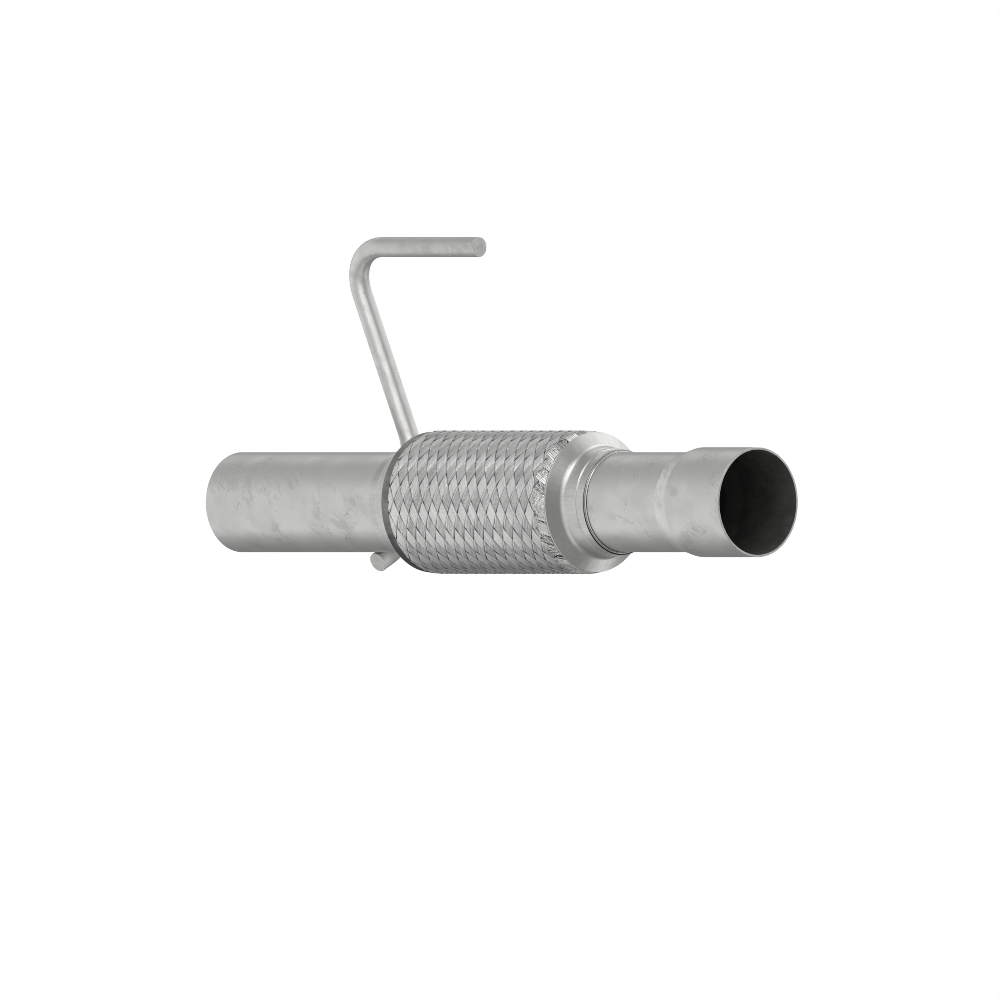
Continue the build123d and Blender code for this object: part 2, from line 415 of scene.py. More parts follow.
def smearGroup():
    # Handling marks, kept only where a broad noise is high: soft patches drawn out along one
    # slant, and wandering thin lines where a bent noise passes through its middle value.
    group, given, result = newGroup("smears", {"Size": 0.006, "Spread": 0.5}, "Smears")
    place = addNode(group, "ShaderNodeTexCoord").outputs["Object"]
    turned = addNode(group, "ShaderNodeVectorRotate",
                     {"Vector": place, "Axis": (0, 1, 0), "Angle": smearMarks["slant"]})
    drawn = addNode(group, "ShaderNodeVectorMath",
                    {0: turned.outputs[0], 1: smearMarks["drawnOut"]}, operation="MULTIPLY").outputs[0]
    scale = calculate(group, "DIVIDE", 1.0, given["Size"])
    patch = noiseAt(group, drawn, scale, 3.0, smearMarks["patchBend"])
    soft = times(group, ramp(group, patch, *smearMarks["patch"]), smearMarks["patchShare"])
    wide = times(group, scale, smearMarks["lineScale"])
    line = noiseAt(group, drawn, wide, 3.0, smearMarks["lineBend"])
    offset = calculate(group, "ABSOLUTE", calculate(group, "SUBTRACT", line, smearMarks["lineMiddle"]))
    marks = calculate(group, "MAXIMUM", soft, ramp(group, offset, smearMarks["lineWidth"], 0.0))
    broad = noiseAt(group, place, times(group, scale, smearMarks["broadScale"]), 1.0)
    full = plus(group, given["Spread"], smearMarks["broadEdge"])
    group.links.new(times(group, marks, ramp(group, broad, given["Spread"], full)), result)
    return group


def grainGroup():
    # fine grain of rolled steel, stretched along one axis of the vector that is given
    inputs = {"Vector": (0, 0, 0), "Size": 0.0004, "Stretch": (1, 1, 1)}
    group, given, result = newGroup("grain", inputs, "Grain")
    stretched = addNode(group, "ShaderNodeVectorMath", {0: given["Vector"], 1: given["Stretch"]},
                        operation="MULTIPLY").outputs[0]
    scale = calculate(group, "DIVIDE", 1.0, given["Size"])
    group.links.new(noiseAt(group, stretched, scale, 2.0), result)
    return group


clouds, smears, grain = cloudGroup(), smearGroup(), grainGroup()
darkClouds = (0.65, 0.35)  # clean at the first value of the clouds, stained at the second


def steel(name, base, **changes):
    # One recipe for all the metal. A finish gives the colour, its stained and shaded colour, the
    # roughness, how strong clouds, smears and grain are, and which vector the grain follows. Where a
    # finish asks for them, the mesh's own tone adds stain and painted shade, its groove
    # attribute paints dark shade into seams and gaps, and its lean bump.
    finish = dict(base, **changes)
    material, shader = newMaterial(name)
    tree = material.node_tree
    shader.inputs["Metallic"].default_value = finish.get("metallic", 1.0)

    def attribute(key):
        return addNode(tree, "ShaderNodeAttribute", attribute_name=key).outputs["Fac"]

    place = addNode(tree, "ShaderNodeTexCoord").outputs[finish.get("grainOn", "Object")]
    cloud = useGroup(tree, clouds, Size=finish["cloudSize"])
    smear = useGroup(tree, smears, Size=finish["smearSize"], Spread=finish["smearSpread"])
    fine = useGroup(tree, grain, Vector=place, Size=finish["grainSize"], Stretch=finish["grainStretch"])
    stain = times(tree, ramp(tree, cloud, *darkClouds), finish["cloudDepth"])
    stain = plus(tree, stain, times(tree, smear, finish["smearDepth"]))
    stain = plus(tree, stain, aboutHalf(tree, fine, finish["grainDepth"]))
    if "toneDepth" in finish:
        stain = plus(tree, stain, aboutHalf(tree, attribute("tone"), finish["toneDepth"]))
    colour = mixColours(tree, stain, (*finish["colour"], 1), (*finish["stained"], 1))
    # painted shade: seams and gaps are darkened towards grooveColour
    if "grooveColour" in finish:
        colour = mixColours(tree, attribute("groove"), colour, (*finish["grooveColour"], 1))
    tree.links.new(colour, shader.inputs["Base Color"])
    rough = plus(tree, finish["roughness"], times(tree, stain, finish["stainRoughness"]))
    tree.links.new(rough, shader.inputs["Roughness"])
    height = plus(tree, times(tree, fine, finish["grainBump"]), times(tree, cloud, finish["cloudBump"]))
    if "leanBump" in finish:
        height = plus(tree, height, times(tree, attribute("lean"), finish["leanBump"]))
    bump = addNode(tree, "ShaderNodeBump", {"Height": height, "Distance": metresPerMm, "Strength": 1.0})
    tree.links.new(bump.outputs["Normal"], shader.inputs["Normal"])
    return material


pipeFinish = {
    "colour": (0.83, 0.825, 0.81), "stained": (0.50, 0.50, 0.49), "roughness": 0.31,
    "stainRoughness": 0.25, "cloudSize": 0.014, "cloudDepth": 0.20, "smearSize": 0.006,
    "smearSpread": 0.48, "smearDepth": 0.48, "grainSize": 0.0008, "grainStretch": (1, 1, 1),
    "grainDepth": 0.14, "grainBump": 0.02, "cloudBump": 0.25,
}
capFinish = dict(
    pipeFinish, colour=(0.76, 0.755, 0.74), roughness=0.23, cloudDepth=0.12, smearDepth=0.15,
    grainOn="UV", grainSize=0.003, grainStretch=(0.35, 0.3, 1), grainDepth=0.75, grainBump=0.01)
braidFinish = dict(
    pipeFinish, colour=(0.96, 0.96, 0.95), stained=(0.36, 0.36, 0.355), roughness=0.36,
    cloudDepth=0.10, smearDepth=0.0, grainSize=0.0006, grainDepth=1.0, toneDepth=0.34,
    grainBump=0.06, cloudBump=0.0, grooveColour=(0.05, 0.05, 0.05))
weldFinish = dict(
    pipeFinish, colour=(0.62, 0.60, 0.57), stained=(0.30, 0.27, 0.24), roughness=0.40,
    cloudSize=0.004, cloudDepth=0.5, grainBump=0.06)

pipeSteel = steel("pipeSteel", pipeFinish)
capSteel = steel("capSteel", capFinish)
collarSteel = steel(
    "collarSteel", capFinish, colour=(0.42, 0.415, 0.40), stained=(0.14, 0.14, 0.14),
    cloudDepth=0.6, cloudSize=0.012, toneDepth=0.7)
rodSteel = steel(
    "rodSteel", pipeFinish, colour=(0.79, 0.785, 0.77), roughness=0.33, grainOn="UV",
    grainSize=0.004, grainStretch=(0.12, 1.0, 1), grainDepth=0.22, smearDepth=0.4,
    cloudSize=0.010, grainBump=0.01, toneDepth=1.0)
sawnSteel = steel(
    "sawnSteel", pipeFinish, colour=(0.68, 0.675, 0.665), roughness=0.50, cloudSize=0.003,
    cloudDepth=0.35, smearDepth=0.0, grainBump=0.06)
braidWire = steel("braidWire", braidFinish)
frayedWire = steel(
    "frayedWire", braidFinish, colour=(1.0, 0.995, 0.98), stained=(0.25, 0.25, 0.25),
    grainSize=0.0009, grainDepth=1.8, grainBump=0.10, roughness=0.28, toneDepth=0.30, leanBump=1.0)
# painted shade: the core under the strands is coloured dark
shadedCore = steel(
    "shadedCore", pipeFinish, colour=(0.30, 0.30, 0.30), stained=(0.15, 0.15, 0.15),
    roughness=0.5, grainDepth=0.4)
# painted shade for creases: the neck's mouth faces and the neck welds' toes, darker downwards
creaseShade = steel(
    "creaseShade", pipeFinish, colour=(0.62, 0.62, 0.61), stained=(0.12, 0.12, 0.12),
    roughness=0.5, toneDepth=1.0)
weldMetal = steel("weldMetal", weldFinish)
neckWeldMetal = steel(
    "neckWeldMetal", weldFinish, colour=(0.90, 0.89, 0.87), stained=(0.55, 0.53, 0.50),
    roughness=0.28, cloudDepth=0.25)
bellowsSteel = steel("bellowsSteel", pipeFinish, roughness=0.22, smearDepth=0.1)
# painted shade: the liner inside the coupling is coloured dark
shadedLiner = steel(
    "shadedLiner", pipeFinish, colour=(0.10, 0.098, 0.095), stained=(0.03, 0.03, 0.03),
    roughness=0.55, metallic=0.6, cloudDepth=0.4)
# painted shade: the pipes' bores are coloured dark
shadedBore = steel(
    "shadedBore", pipeFinish, colour=(0.13, 0.127, 0.12), stained=(0.05, 0.05, 0.05),
    roughness=0.6, metallic=0.0, cloudDepth=0.5, cloudSize=0.012, smearDepth=0.4, grainBump=0.05)
print("finishes mixed")

# Pipes
pipes = {"wall": 1.2, "edge": 0.25, "socketBore": 26.3, "socketLength": 39.1, "flareLength": 10.0,
         "flareFillet": 3.5, "runStep": 12.0}
inletStart, inletEnd, pipeRadius = span("inlet_pipe")
outletStart, outletEnd, socketRadius = span("outlet_pipe")
pipeBore = pipeRadius - pipes["wall"]


def turnPipe(name, node, corners, **spacing):
    # the profile runs back along -X on the inside, and straight in on the sawn ends
    piece, profile = lathe(name, corners, "pipe_steel", node, [pipeSteel, shadedBore, sawnSteel],
                           runStep=pipes["runStep"], **spacing)
    step = np.roll(profile, -1, axis=0) - profile
    inside = step[:, 0] < -1e-3
    sawn = np.abs(step[:, 1]) > 3 * np.abs(step[:, 0])
    # the inside rows take the dark bore, painted shade
    paintRows(piece, np.where(sawn, 2, inside))


def inletPipe():
    turnPipe("inletPipe", "inlet_pipe", [
        (inletStart, pipeRadius, pipes["edge"]), (inletEnd, pipeRadius),
        (inletEnd, pipeBore), (inletStart, pipeBore)])


def outletPipe():
    # straight, then a cone out to the socket, with a soft bend at each end of the cone
    socketStart = outletEnd - pipes["socketLength"]
    flareStart = socketStart - pipes["flareLength"]
    bend = pipes["flareFillet"]
    turnPipe("outletPipe", "outlet_pipe", [
        (outletStart, pipeRadius), (flareStart, pipeRadius, bend), (socketStart, socketRadius, bend),
        (outletEnd, socketRadius, pipes["edge"]), (outletEnd, pipes["socketBore"]),
        (socketStart, pipes["socketBore"], bend), (flareStart, pipeBore, bend),
        (outletStart, pipeBore)], arcStep=1.5)


inletPipe()
outletPipe()
print("pipes turned")

# End caps. slantSheet is the sheet's thickness along X where the shoulder slants. Faces within
# crease of the neck's mouth are painted dark as shade in the crease, and those within collarTop
# of the collar's outside dark. Painted shade darkens the collar and the crease faces towards the
# bottom: it begins and is full at the heights in shadeBelow, in shares of the radius downwards.
cap = {"sheet": 0.6, "slantSheet": 0.78, "neckRadius": 26.45, "neckEdge": 0.12, "neckBand": 4.7,
       "bandEdge": 0.15, "neckStep": 0.50, "stepFillet": 0.9, "neckSwell": 0.70,
       "shoulderDepth": 5.2, "shoulderFillet": 4.2, "rimThickness": 0.6, "rimFillet": 0.3,
       "skirtLength": 9.0, "skirtRadius": 33.84, "collarFillet": 0.4, "collarEdge": 0.3,
       "collarLap": 0.7, "crease": 0.05, "collarTop": 0.15, "shadeBelow": (-0.2, 0.5), "runStep": 2.0}
skirtEnd, outletNeckEnd, rimRadius = span("outlet_end_cap")
inletNeckEnd, collarMouth, collarRadius = span("inlet_end_cap")
rimX = skirtEnd + cap["skirtLength"]
footX = rimX + cap["shoulderDepth"]
footRadius = cap["neckRadius"] + cap["neckStep"] + cap["neckSwell"]


def pressedSheet(edge):
    # the outside of the neck, from its mouth to the foot of the shoulder, then the edge that is
    # given, and back on the inside of the sheet
    band = outletNeckEnd - cap["neckBand"]
    bore = cap["neckRadius"] - cap["sheet"]
    outside = [(outletNeckEnd, cap["neckRadius"], cap["neckEdge"]),
               (band, cap["neckRadius"], cap["bandEdge"]),
               (band - cap["neckStep"], cap["neckRadius"] + cap["neckStep"], cap["stepFillet"]),
               (footX, footRadius, cap["shoulderFillet"])]
    inside = [(footX - cap["slantSheet"], footRadius - cap["sheet"], cap["shoulderFillet"]),
              (band, bore), (outletNeckEnd, bore)]
    return outside + edge + inside


def outletCap():
    skirtBore = cap["skirtRadius"] - cap["sheet"]
    rim = [(rimX, rimRadius, cap["rimFillet"]), (rimX - cap["rimThickness"], rimRadius),
           (rimX - cap["rimThickness"], cap["skirtRadius"]), (skirtEnd, cap["skirtRadius"]),
           (skirtEnd, skirtBore), (rimX, skirtBore)]
    piece, profile = lathe("outletCap", pressedSheet(rim)[::-1], "cap_steel", "outlet_end_cap",
                           [capSteel, creaseShade], runStep=cap["runStep"])
    shadeLower(piece, *cap["shadeBelow"])
    # the neck's mouth faces are painted dark as shade in the crease
    paintRows(piece, profile[:, 0] > outletNeckEnd - cap["crease"])


def inletCap():
    # the same pressing the other way round, whose edge is turned back over the braid
    mirror = inletNeckEnd + outletNeckEnd
    collarEnd = mirror - collarMouth
    collarBore = collarRadius - cap["sheet"]
    collar = [(rimX, collarRadius, cap["collarFillet"]), (collarEnd, collarRadius, cap["collarEdge"]),
              (collarEnd, collarBore), (rimX - cap["collarLap"], collarBore)]
    corners = [(mirror - c[0], *c[1:]) for c in pressedSheet(collar)]
    piece, profile = lathe("inletCap", corners, "cap_steel", "inlet_end_cap",
                           [capSteel, collarSteel, creaseShade], runStep=cap["runStep"])
    shadeLower(piece, *cap["shadeBelow"])
    onCollar = profile[:, 1] > collarRadius - cap["collarTop"]
    # the neck's mouth faces are painted dark as shade in the crease
    paintRows(piece, np.where(profile[:, 0] < inletNeckEnd + cap["crease"], 2, onCollar))


outletCap()
inletCap()
print("end caps pressed")

# Braid: 16 flat strands each way, woven over one and under one. Counted in crossings, a strand is
# level up to level and down from low.
braid = {"strands": 16, "pitch": 7.06, "firstX": 145.47, "turn": -13.1, "start": 142.0, "end": 253.5,
         "radius": 36.1, "tuckRadius": 34.9, "tuckFrom": 0.2, "grow": 145.2, "pressFrom": 249.0,
         "press": 0.55, "relief": 0.50, "level": 0.38, "halfway": 0.47, "low": 0.54, "flat": 0.6,
         "flatDrop": 0.34, "crown": 0.03, "shoulder": 0.14, "shoulderPower": 8, "thickness": 0.4,
         "cover": 0.985, "wander": 0.03, "tilt": 0.05, "lift": 0.04, "wires": 10, "perWire": 4,
         "wireRelief": 0.16, "wireRound": 0.8, "seam": 0.038, "dive": 0.05, "tone": 0.2,
         "toneTilt": 0.2, "shadedWay": 1.05, "brightEdge": 1.6, "paleNearCollar": 1.0,
         "paleTo": (151.0, 145.5), "coreRadius": 34.5, "coreBore": 34.1, "rim": 258.3}
braidUnit = 180 / braid["strands"]
crossings = np.arange(-20, 60)  # more than any strand has


def sleeveRadius(x):
    # outside of the sleeve: tucked in the collar, then full, and pressed down on the outlet cap
    rise = smoothStep(x, collarMouth - braid["tuckFrom"], braid["grow"])
    fall = smoothStep(x, braid["pressFrom"], braid["end"])
    return braid["tuckRadius"] + (braid["radius"] - braid["tuckRadius"]) * rise - braid["press"] * fall


def wireRidges(wires):
    # across a strand from -0.5 to 0.5: a round ridge for each wire, 1 on its top, and its number
    across = np.linspace(-0.5, 0.5, wires * braid["perWire"] + 1)
    wire = np.clip((across + 0.5) * wires, 0, wires - 1e-6)
    number = np.floor(wire).astype(int)
    return across, np.sqrt(1 - braid["wireRound"] * (2 * (wire - number) - 1) ** 2), number


def underEdges(values, change=0.0):
    # two more columns for the underside: the last and the first once more, with a change
    return np.concatenate([values, values[:, [-1, 0]] + change], 1)


def underSame(values, under):
    # two more columns for the underside, both with one value
    return np.concatenate([values, np.full((len(values), 2), under)], 1)


def makeStrips(name, material, flip, points, **attributes):
    # all strips of one kind as one piece, each with the same rows and columns
    faces = loopFaces(len(points), *points[0].shape[:2], flip=flip)
    makePiece(name, points, faces, "braid_wire", "outer_braid", [material], **attributes)


def strands(name, way):
    # A crossing lies at whole numbers a and b: x = firstX + (b - a) x half pitch and the turn
    # is (a + b + 1) x 11.25. A strand of one way keeps its a and runs along b, of the other way
    # it keeps b and runs along a. It is level where it lies over, drops within a short way and
    # stays down for one crossing. Each wire adds a round ridge, and the strand's edges dip. Where
    # it lies over it is flatter than the sleeve: it keeps a share of the height of the plane that
    # touches the sleeve in the middle of the crossing, radius x (1 / cos(angle) - 1). The wire on
    # its inlet side is painted bright as a highlight, and the strands are painted paler towards the
    # collar. The seams at its edges and where it dives are painted dark as shade, and the counter
    # way is painted darker as shade.
    half = braid["pitch"] / 2
    start, end = [(braid[key] - braid["firstX"]) / half for key in ("start", "end")]
    first, last = int(np.floor(start / 2)) - 1, int(np.ceil(end / 2)) + 1
    steps = np.array([braid["level"], braid["halfway"], braid["low"]])
    offsets = np.r_[-steps[::-1], 0.0, steps, 1.0]
    # one way lies over at odd numbers of crossings past its own, the other way at even ones
    pastOver = np.tile(offsets, last - first)
    along = (2 * np.arange(first, last)[:, None] + (way > 0) + offsets).ravel()
    kept = (along > start) & (along < end)
    along, pastOver = along[kept], pastOver[kept]
    fromOver = np.abs(pastOver)
    over = 1 - smoothStep(fromOver, braid["level"], braid["low"])[:, None]
    across, ridge, number = wireRidges(braid["wires"])
    sideways = np.abs(2 * across)
    dip = braid["crown"] * sideways**2 + braid["shoulder"] * sideways ** braid["shoulderPower"]
    # painted shade: the seams at the strand's edges and where it dives under are darkened
    seam = np.clip((sideways - 1) / (2 * braid["seam"]) + 1, 0, 1)
    dive = smoothStep(fromOver, 0.5 - braid["dive"], 0.5)
    groove = underSame(1 - (1 - seam[None, :]) * (1 - dive[:, None]), 1.0)
    # painted highlight on the edge wire, and painted shade that makes the counter way darker
    glint = braid["brightEdge"] * (number == (braid["wires"] - 1 if way > 0 else 0))
    wayShade = braid["shadedWay"] if way < 0 else 0.0
    crossing = np.round(along).astype(int) - int(np.floor(along[0])) + 1
    points, tones = [], []
    for index in range(braid["strands"]):
        swerve = np.interp(along, crossings, rng.uniform(-1, 1, len(crossings)))[:, None]
        own = index + braid["cover"] * across[None, :] + braid["wander"] * swerve
        other = index + way * along[:, None]
        a, b = (own, other) if way > 0 else (other, own)
        x = braid["firstX"] + (b - a) * half
        turn = np.radians((a + b + 1) * braidUnit + braid["turn"])
        tilted = rng.uniform(-1, 1, len(crossings))[crossing][:, None]
        loose = rng.uniform(-1, 1, braid["wires"])[number]
        angle = np.radians((own - index + way * pastOver[:, None]) * braidUnit)
        plane = braid["flat"] * braid["radius"] * (1 / np.cos(angle) - 1) - braid["flatDrop"]
        radius = (sleeveRadius(x) - braid["relief"] * (1 - over) + plane * over - dip
                  + braid["tilt"] * tilted * across + braid["wireRelief"] * (ridge - 1)
                  + braid["lift"] * loose)
        wire = rng.uniform(0, 1, braid["wires"])[number]
        tone = braid["tone"] + wire + braid["toneTilt"] * tilted + wayShade - glint
        # the strands are painted paler towards the collar
        tone = tone - braid["paleNearCollar"] * smoothStep(x, *braid["paleTo"])
        radius = underEdges(radius, -braid["thickness"])
        points.append(roundAxis(underEdges(x), radius, underEdges(turn)))
        tones.append(underSame(tone, 0.5))
    makeStrips(name, braidWire, way < 0, points, tone=tones, groove=[groove] * len(points))


def braidCore():
    # the inner layer of wires, coloured dark as painted shade that shows between the strands
    start, end = braid["start"], braid["rim"]
    corners = [(start, braid["coreRadius"]), (end, braid["coreRadius"]),
               (end, braid["coreBore"]), (start, braid["coreBore"])]
    lathe("braidCore", corners, "braid_wire", "outer_braid", [shadedCore], edge=0.05, runStep=30.0)


# Wire ends: one flat lobe for each row of crossings, crushed down on the rim of the outlet cap.
# Pairs of values are ranges, from which each lobe or wire draws its own.
fray = {"start": 250.6, "startSpread": (-0.5, 0.5), "endSpread": (-0.25, 0.05), "ragged": 0.7,
        "arch": 3.2, "wires": 7, "rows": 14, "thickness": 0.3, "tipRadius": 35.85,
        "rimRadius": 34.95, "fall": (0.8, 2.6), "relief": 0.28, "lift": 0.04, "liftOver": (0.1, 0.6),
        "tilt": 0.22, "roll": 0.30, "hinge": 0.3, "tuck": 0.25, "tuckOver": (0.40, 0.50),
        "slant": 5.5, "slantSpread": 1.2, "offset": -0.15, "overlap": 1.05, "splits": 0.35,
        "splitAt": (-0.3, 0.2), "splitWidth": 2.2, "splitDepth": 0.35, "splitOver": (0.1, 0.3),
        "edgeLine": (0.46, 0.485), "pitAt": (-0.3, 0.3), "pitWidth": 0.22, "pitOver": (0.32, 0.12),
        "tipShade": 0.3, "tipOver": (0.08, 0.0), "valleys": (0.25, 0.85), "hatchLines": (4, 6),
        "hatchSkew": 3, "hatch": (0, 0.45), "bright": (-1.0, 2.6), "wireTone": 0.8, "strip": 2.0,
        "stripAt": 0.37, "stripWidth": 0.06, "leanAcross": (-1.0, 3.2), "leanAlong": (-3.0, 0.0)}


def hump(value, middle, width):
    # 1 in the middle, falling off as e^-(distance / width)^2
    return np.exp(-((value - middle) / width) ** 2)


def fallen(way, power):
    # the radius falls from the tips' to the rim's with a power of the way between them
    return fray["tipRadius"] - (fray["tipRadius"] - fray["rimRadius"]) * np.clip(way, 0, 1) ** power


def wayToRim(x):
    return (x - fray["start"]) / (braid["rim"] - fray["start"])


def lobes():
    # s runs along a lobe. Its start recedes as the square of the way across, and it slants round
    # the sleeve. The lobes overlap like scales: one edge is raised and ends in a painted shadow line
    # with a painted highlight strip beside it, and the other lies under its neighbour. The radius
    # falls to the rim's with a power of s that differs from lobe to lobe, as do the roll and the
    # tone, so that each catches the light in its own way. A lobe may be split along one wire.
    across, ridge, number = wireRidges(fray["wires"])
    s = np.linspace(0, 1, fray["rows"])[:, None]
    valley = (1 - ridge) / (1 - ridge.min())
    points, tones, grooves, leans = [], [], [], []

    def eachWire(low, high):
        return rng.uniform(low, high, fray["wires"])[number]

    for index in range(2 * braid["strands"]):
        ragged = fray["ragged"] * eachWire(-1, 1)
        start = fray["start"] + rng.uniform(*fray["startSpread"]) + ragged
        start = start + fray["arch"] * (0.5 - across) ** 2
        end = braid["rim"] + eachWire(*fray["endSpread"])
        x = start + (end - start) * s
        way = wayToRim(x)
        slant = fray["slant"] + rng.normal(0, fray["slantSpread"])
        turn = (index + fray["offset"] + across * fray["overlap"]) * braidUnit
        turn = np.radians(turn + braid["turn"] + slant * way)
        lift = fray["lift"] * eachWire(-1, 1) * smoothStep(s, *fray["liftOver"])
        tilt = fray["tilt"] + fray["roll"] * rng.uniform(-1, 1)
        radius = (fallen(way, rng.uniform(*fray["fall"])) + tilt * (across - fray["hinge"])
                  - fray["tuck"] * smoothStep(across, *fray["tuckOver"])
                  + fray["relief"] * (ridge - 1) + lift)
        split = rng.uniform(0, 1) < fray["splits"]
        gap = hump(across, rng.uniform(*fray["splitAt"]), 1 / (fray["wires"] * fray["splitWidth"]))
        gap = gap * split * smoothStep(s, *fray["splitOver"])
        pit = hump(across, rng.uniform(*fray["pitAt"]), fray["pitWidth"]) * rng.uniform(0.0, 1.0)
        # painted shade: a dark line along the raised edge, the lobe's start, pits, the valleys between
        # wires and hatch lines
        shade = np.maximum(smoothStep(across, *fray["edgeLine"]),
                           fray["tipShade"] * smoothStep(s, *fray["tipOver"]))
        shade = np.maximum(shade, pit * smoothStep(s, *fray["pitOver"]))
        shade = np.maximum(shade, rng.uniform(*fray["valleys"]) * valley)
        lines = rng.uniform(*fray["hatchLines"]) * s + fray["hatchSkew"] * across
        shade = np.maximum(shade, rng.uniform(*fray["hatch"]) * (0.5 - 0.5 * np.cos(2 * np.pi * lines)))
        radius = np.minimum(radius - fray["splitDepth"] * gap, braid["radius"])
        radius = underEdges(radius, -fray["thickness"])
        points.append(roundAxis(underEdges(x), radius, underEdges(turn)))
        # painted highlight: a bright strip beside the raised edge
        strip = fray["strip"] * hump(across, fray["stripAt"], fray["stripWidth"])
        tone = rng.uniform(*fray["bright"]) + fray["wireTone"] * eachWire(-1, 1) - strip
        tones.append(underSame(tone + 0 * s, 0.5))
        lean = rng.uniform(*fray["leanAcross"]) * across + rng.uniform(*fray["leanAlong"]) * s
        leans.append(underEdges(lean))
        # the split is painted dark as shade too
        grooves.append(underSame(np.maximum(shade, gap), 1.0))
    makeStrips("crushedEnds", frayedWire, False, points, tone=tones, groove=grooves, lean=leans)


# Single wires that lie astray on the lobes, with ranges as above
stray = {"count": 56, "start": (-0.5, 3.0), "reach": (0.7, 1.0), "share": (0.2, 1.0), "bend": 1.5,
         "hooked": 0.25, "hookBend": 4.0, "fall": 1.4, "bow": 0.22, "radius": 0.17,
         "swell": (0.8, 1.2), "tone": (-1.5, 0.8), "points": 12, "sides": 8}


def tubes(paths, radius, outward, sides):
    # Round wires along many paths at once. At each point the section's first axis is square to
    # the path and to the outward direction, and the second is square to both.
    ahead = np.gradient(paths, axis=1)
    ahead /= np.linalg.norm(ahead, axis=-1, keepdims=True)
    side = np.cross(ahead, outward)
    side /= np.linalg.norm(side, axis=-1, keepdims=True)
    up = np.cross(side, ahead)
    turn = fullTurn(sides)[:, None]
    circle = side[:, :, None] * np.cos(turn) + up[:, :, None] * np.sin(turn)
    return paths[:, :, None] + radius[..., None, None] * circle


def looseWires():
    # Each wire starts on a strand's slope, bends away from it with the square of the way, and
    # comes down to the rim with the lobes below it. A few are bent into hooks.
    count = stray["count"]

    def each(low, high):
        return rng.uniform(low, high, count)[:, None]

    slope = 2 * braidUnit / braid["pitch"]
    s = np.linspace(0, 1, stray["points"])[None, :]
    start = fray["start"] + each(*stray["start"])
    reach = (braid["rim"] - start) * each(*stray["reach"])
    x = start + reach * s
    share = rng.choice([-1, 1], count)[:, None] * each(*stray["share"])
    hooked = rng.uniform(0, 1, count) < stray["hooked"]
    bend = (rng.normal(0, stray["bend"], count) * np.where(hooked, stray["hookBend"], 1.0))[:, None]
    turn = np.radians(each(0, 360) + slope * reach * s * share + bend * s**2)
    radius = fallen(wayToRim(x), stray["fall"]) + stray["bow"] * each(0, 1) * np.sin(np.pi * s)
    thick = stray["radius"] * each(*stray["swell"]) + 0 * s
    radius = np.minimum(radius, braid["radius"] - thick)
    points = tubes(roundAxis(x, radius, turn), thick, roundAxis(0.0, 1.0, turn), stray["sides"])
    faces = loopFaces(count, stray["points"], stray["sides"], flip=True)
    tone = np.repeat(each(*stray["tone"]), stray["points"] * stray["sides"])
    makePiece("looseWires", points, faces, "braid_wire", "outer_braid", [braidWire],
              tone=tone, groove=0 * tone)


braidCore()
strands("braidClockwise", 1)
strands("braidCounter", -1)
print("braid woven")
lobes()
looseWires()
print("wire ends crushed")

# Hanger rod. Its ends are closed by a point and rings over the chamfer: endTravel is how far each
# lies from the end, and endLost how much less the radius of each ring is, both in chamfers. The
# foot is darkened most beside the pipe, partly as heat tint of the weld and partly as painted
# shadow, and the arm is a little dull: armDull fades over armTo from the arm's end, and
# footHeatAndShade and weldHeatAndShade hold for footReach from the foot's end.
rod = {"radius": 5.0, "chamfer": 0.2, "armBend": 26.0, "kneeBend": 25.0, "kneeHeight": 30.0,
       "wrapAngle": 62.5, "footLength": 7.6, "columns": 64, "step": 3.0,
       "endTravel": (0, 0, 0, 0, 0.3, 1.0, 1.4), "endLost": (12, 1.9, 1.0, 0.4, 0.05, 0),
       "endRows": 3, "mapWidth": 20.0, "armDull": 0.18, "armTo": (70, 40), "footHeatAndShade": 0.30,
       "weldHeatAndShade": 0.60, "weldFrom": (1.0, 9.0), "footReach": 14}
rodX = nodeBox("hanger_rod")[0][0] + rod["radius"]


def rodLine():
    # the middle line: the arm, a bend down, the knee, the way round the pipe, and the foot
    low, high = nodeBox("hanger_rod")
    side, arm = low[1] + rod["radius"], high[2] - rod["radius"]
    lineRadius = high[1] - rod["radius"]
    wrap = np.radians(rod["wrapAngle"])
    drop = lineRadius * np.tan(wrap / 2)
    foot = drop + rod["footLength"]
    corners = [(high[0], side, arm), (rodX, side, arm), (rodX, lineRadius, rod["kneeHeight"]),
               (rodX, lineRadius, -drop),
               (rodX, lineRadius - foot * np.sin(wrap), -drop - foot * np.cos(wrap))]
    bends = [0, rod["armBend"], rod["kneeBend"], lineRadius, 0]
    return filletPath(corners, bends, arcStep=rod["step"], runStep=rod["step"])


